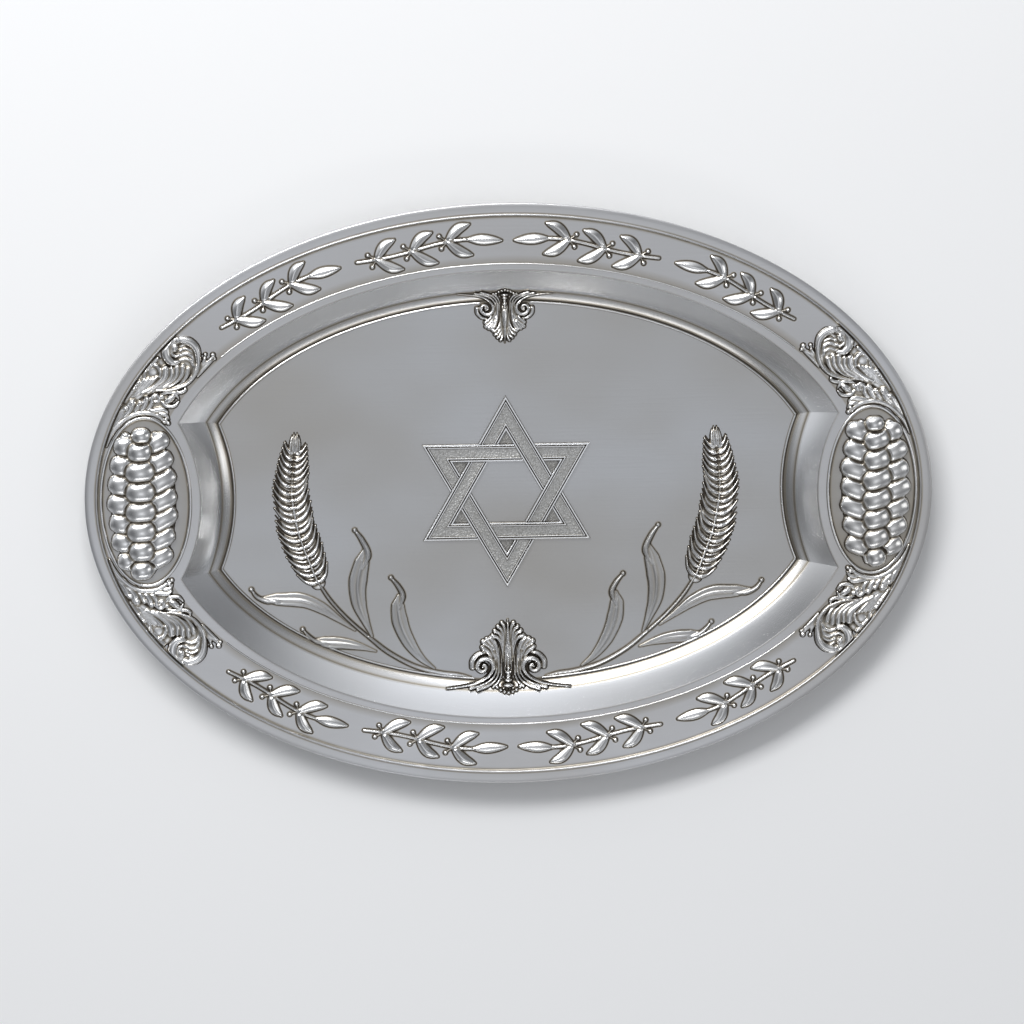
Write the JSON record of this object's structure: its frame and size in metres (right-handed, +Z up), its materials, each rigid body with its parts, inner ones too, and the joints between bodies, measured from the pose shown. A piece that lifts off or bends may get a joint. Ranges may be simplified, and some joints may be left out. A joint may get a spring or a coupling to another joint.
{
  "type": "oval bread plate",
  "caption": "Oval silver bread plate with a deep well, braided-loaf medallions, woven star, wheat sprays, palmettes and corner scrolls in relief.",
  "frame": {"origin": "middle of the flat underside, on the surface the plate stands on", "axes": "+X along the plate's length, to the right of someone reading it; +Y towards the upper edge of the ornament; +Z up out of the well"},
  "size_m": [0.46, 0.318, 0.0243],
  "materials": {
    "satin_silver": "satin silver with fine rub marks",
    "polished_silver": "polished silver",
    "chased_silver": "polished silver relief, darkened in the recesses",
    "matted_silver": "punched matt silver between polished borders"
  },
  "bodies": {
    "root": {"plate_body": "satin_silver", "rim_border": "polished_silver", "floor_wire_left": "polished_silver", "floor_wire_top_left": "polished_silver", "floor_wire_bottom_left": "polished_silver", "floor_wire_right": "polished_silver", "floor_wire_top_right": "polished_silver", "floor_wire_bottom_right": "polished_silver", "palmette_top": "chased_silver", "palmette_bottom": "chased_silver", "medallion_frame_left": "polished_silver", "braided_loaf_left": "chased_silver", "corner_scroll_top_left": "chased_silver", "corner_scroll_bottom_left": "chased_silver", "wheat_stem_left": "satin_silver", "wheat_ear_left": "chased_silver", "wheat_leaf_upright_left": "satin_silver", "wheat_leaf_inner_left": "satin_silver", "wheat_leaf_outer_left": "satin_silver", "wheat_leaf_low_left": "satin_silver", "medallion_frame_right": "polished_silver", "braided_loaf_right": "chased_silver", "corner_scroll_top_right": "chased_silver", "corner_scroll_bottom_right": "chased_silver", "wheat_stem_right": "satin_silver", "wheat_ear_right": "chased_silver", "wheat_leaf_upright_right": "satin_silver", "wheat_leaf_inner_right": "satin_silver", "wheat_leaf_outer_right": "satin_silver", "wheat_leaf_low_right": "satin_silver", "rim_line_top": "polished_silver", "rim_line_bottom": "polished_silver", "star_triangle_up": "matted_silver", "star_triangle_down": "matted_silver", "rim_sprig_top_1": "chased_silver", "rim_sprig_top_2": "chased_silver", "rim_sprig_top_3": "chased_silver", "rim_sprig_top_4": "chased_silver", "rim_sprig_bottom_1": "chased_silver", "rim_sprig_bottom_2": "chased_silver", "rim_sprig_bottom_3": "chased_silver", "rim_sprig_bottom_4": "chased_silver"}
  },
  "joints": []
}
